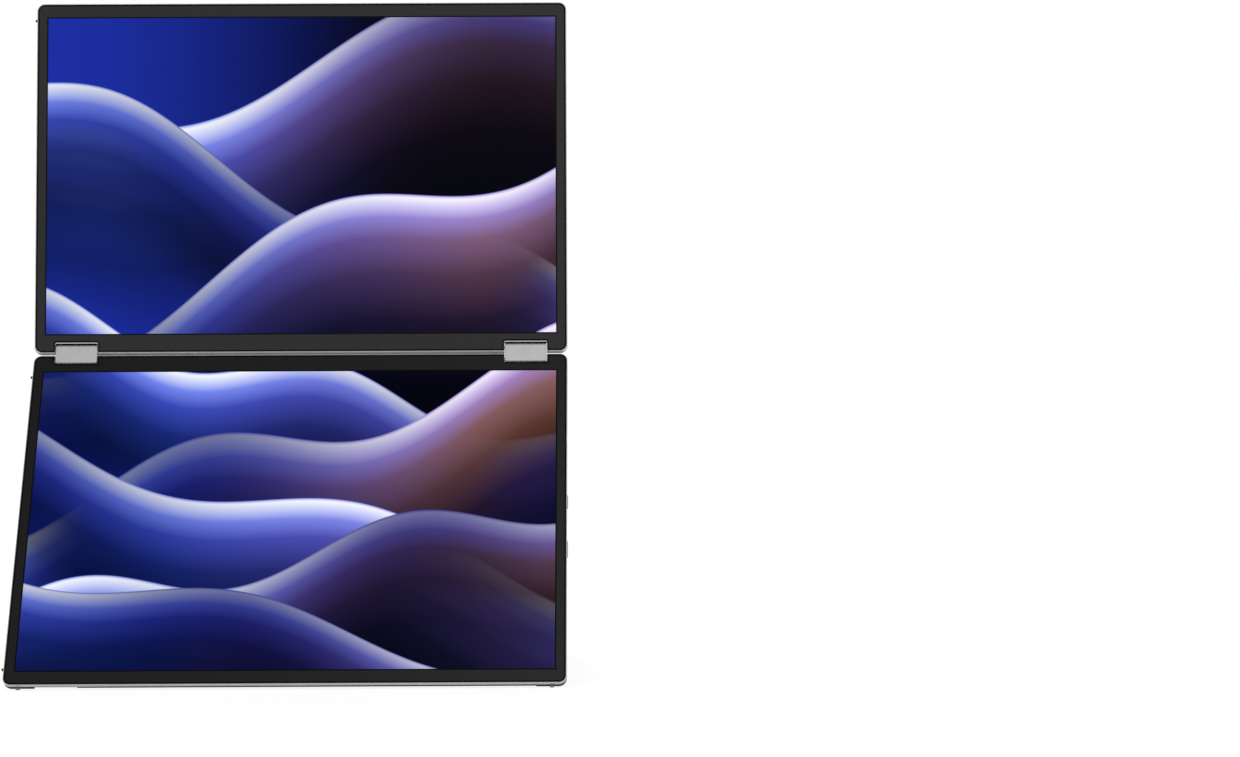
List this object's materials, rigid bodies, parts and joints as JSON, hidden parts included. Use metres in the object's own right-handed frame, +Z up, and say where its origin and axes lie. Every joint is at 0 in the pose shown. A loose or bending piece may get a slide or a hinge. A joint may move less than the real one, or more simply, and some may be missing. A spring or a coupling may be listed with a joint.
{
  "type": "dual portable monitor",
  "caption": "Flat screens stacked edge to edge on a synchronised geared double hinge, leaning back on a fold-out kickstand, with side sockets, push buttons and a tripod bush.",
  "frame": {"origin": "middle of the set's base on the table", "axes": "+Z up, +X to the viewer's right along the hinge axes, +Y away from the viewer"},
  "size_m": [0.3169, 0.1542, 0.3841],
  "materials": {
    "silver_frame": "fine bead-blasted anodised silver with bright cut edges",
    "silver_button": "fine bead-blasted anodised silver",
    "screen_glass": "gloss, black printed border behind the glass",
    "screen_panel": "lit picture area behind the cover glass",
    "dark_cover": "dark grey, fine moulded texture",
    "kickstand_metal": "dark grey, fine powder coat",
    "steel": "satin",
    "screws": "black zinc",
    "circuit_board": "solder mask",
    "flat_cable": "polyimide film",
    "socket_shell": "nickel plated",
    "rubber": "matt black",
    "brass": "turned"
  },
  "bodies": {
    "lower": {"kickstand_fixed_leaves": "steel", "kickstand_fixed_screws": "screws", "kickstand_pins": "steel", "lower_back_cover": "dark_cover", "lower_board_flex": "flat_cable", "lower_board_screws": "screws", "lower_bracket_screws": "screws", "lower_cover_glass": "screen_glass", "lower_driver_board": "circuit_board", "lower_feet": "rubber", "lower_frame": "silver_frame", "lower_hinge_brackets": "steel", "lower_hinge_flex": "flat_cable", "lower_hinge_shafts": "steel", "lower_screen_panel": "screen_panel", "lower_side_feet": "rubber", "main_board": "circuit_board", "mini_hdmi_socket": "socket_shell", "tripod_bush": "brass", "usb_c_socket_far": "socket_shell", "usb_c_socket_near": "socket_shell"},
    "hinge_links": {"hinge_cover_left": "silver_frame", "hinge_cover_right": "silver_frame", "hinge_back_caps": "silver_frame", "hinge_bearing_plates": "steel", "hinge_torque_clips": "steel"},
    "idlers_lower": {"hinge_idlers_lower": "steel"},
    "idlers_upper": {"hinge_idlers_upper": "steel"},
    "upper": {"upper_back_cover": "dark_cover", "upper_board_screws": "screws", "upper_bracket_screws": "screws", "upper_cover_glass": "screen_glass", "upper_driver_board": "circuit_board", "upper_frame": "silver_frame", "upper_hinge_brackets": "steel", "upper_hinge_flex": "flat_cable", "upper_hinge_shafts": "steel", "upper_screen_panel": "screen_panel", "upper_side_feet": "rubber"},
    "kickstand": {"kickstand_plate": "kickstand_metal", "kickstand_sole": "rubber", "kickstand_moving_leaves": "steel", "kickstand_rivets": "steel"},
    "power_button": {"power_button": "silver_button"},
    "menu_button": {"menu_button": "silver_button"}
  },
  "joints": [
    {"name": "hinge_lower", "type": "hinge", "parent": "lower", "child": "hinge_links", "pos_m": [0, 0.03867, 0.17349], "axis": [1, 0, 0], "range_deg": [-68.5, 78]},
    {"name": "hinge_upper", "type": "hinge", "parent": "hinge_links", "child": "upper", "pos_m": [0, 0.04146, 0.18057], "axis": [1, 0, 0], "range_deg": [-68.5, 78]},
    {"name": "idler_lower_turn", "type": "hinge", "parent": "hinge_links", "child": "idlers_lower", "pos_m": [0, 0.0396, 0.17585], "axis": [1, 0, 0], "range_deg": [-68.5, 78]},
    {"name": "idler_upper_turn", "type": "hinge", "parent": "hinge_links", "child": "idlers_upper", "pos_m": [0, 0.04053, 0.17821], "axis": [1, 0, 0], "range_deg": [-78, 68.5]},
    {"name": "kickstand_fold", "type": "hinge", "parent": "lower", "child": "kickstand", "pos_m": [0, -0.00777, 0.09879], "axis": [1, 0, 0], "range_deg": [-65.6, 8]},
    {"name": "power_press", "type": "slide", "parent": "lower", "child": "power_button", "axis": [-1, 0, 0], "range_m": [0, 0.0004], "stiffness_N_per_m": 2500},
    {"name": "menu_press", "type": "slide", "parent": "lower", "child": "menu_button", "axis": [-1, 0, 0], "range_m": [0, 0.0004], "stiffness_N_per_m": 2500}
  ],
  "couplings": [
    {"joint": "hinge_upper", "follows": "hinge_lower", "ratio": 1},
    {"joint": "idler_lower_turn", "follows": "hinge_lower", "ratio": 1},
    {"joint": "idler_upper_turn", "follows": "hinge_lower", "ratio": -1}
  ]
}
